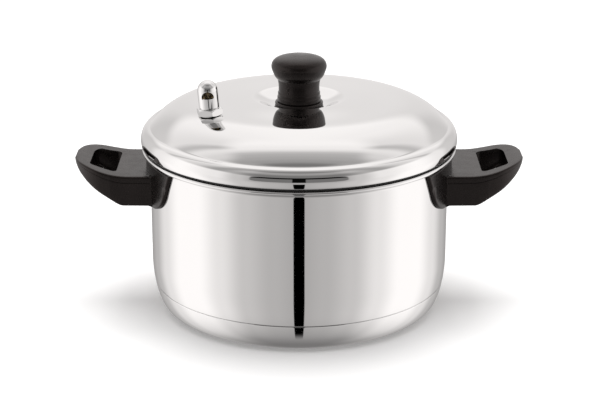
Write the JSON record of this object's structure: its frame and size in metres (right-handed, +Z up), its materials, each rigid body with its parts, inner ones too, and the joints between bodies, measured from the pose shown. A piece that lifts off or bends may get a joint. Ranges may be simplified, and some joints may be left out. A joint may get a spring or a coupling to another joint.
{
  "type": "stovetop pressure cooker",
  "caption": "Stovetop cooker with a deep steel pot, two side handles, a lift-off domed lid with a knob and steam whistle, and a steaming rack.",
  "frame": {"origin": "centre of the flat underside of the base", "axes": "+Z up, +X along the line of the two side handles, the whistle side of the lid towards -Y"},
  "size_m": [0.3292, 0.2324, 0.1884],
  "materials": {
    "polished_steel": "mirror-polished stainless steel",
    "satin_steel": "satin stainless steel",
    "aluminium": "as-rolled aluminium",
    "bakelite": "black moulded bakelite, soft sheen",
    "brass": "machined brass",
    "seal_rubber": "black silicone rubber"
  },
  "bodies": {
    "pot": {"pot_body": "polished_steel", "base_core": "aluminium", "base_cap": "polished_steel", "handle_left": "bakelite", "handle_right": "bakelite", "handle_bracket_left": "satin_steel", "handle_bracket_right": "satin_steel", "handle_screw_left": "satin_steel", "handle_screw_right": "satin_steel", "handle_washer_left": "satin_steel", "handle_washer_right": "satin_steel", "handle_nut_left": "satin_steel", "handle_nut_right": "satin_steel"},
    "lid": {"lid": "polished_steel", "lid_skirt": "satin_steel", "lid_seal": "seal_rubber", "knob": "bakelite", "knob_ferrule": "bakelite", "knob_insert": "brass", "knob_screw": "satin_steel", "knob_washer": "satin_steel", "vent_stem": "brass", "vent_gasket": "seal_rubber", "vent_washer": "satin_steel", "vent_nut": "brass"},
    "whistle": {"whistle_base": "polished_steel", "whistle_seat": "seal_rubber", "whistle_bell": "polished_steel", "whistle_languid": "brass"},
    "rack": {"rack_plate": "satin_steel", "rack_legs": "satin_steel"}
  },
  "joints": [
    {"name": "lid_lift", "type": "slide", "parent": "pot", "child": "lid", "axis": [0, 0, 1], "range_m": [0, 0.3]},
    {"name": "whistle_lift", "type": "slide", "parent": "lid", "child": "whistle", "axis": [-0.0776, -0.0469, 0.9959], "range_m": [0, 0.03]},
    {"name": "rack_lift", "type": "slide", "parent": "pot", "child": "rack", "axis": [0, 0, 1], "range_m": [0, 0.15]}
  ],
  "couplings": [
    {"joint": "rack_lift", "follows": "lid_lift", "ratio": 0.5}
  ]
}
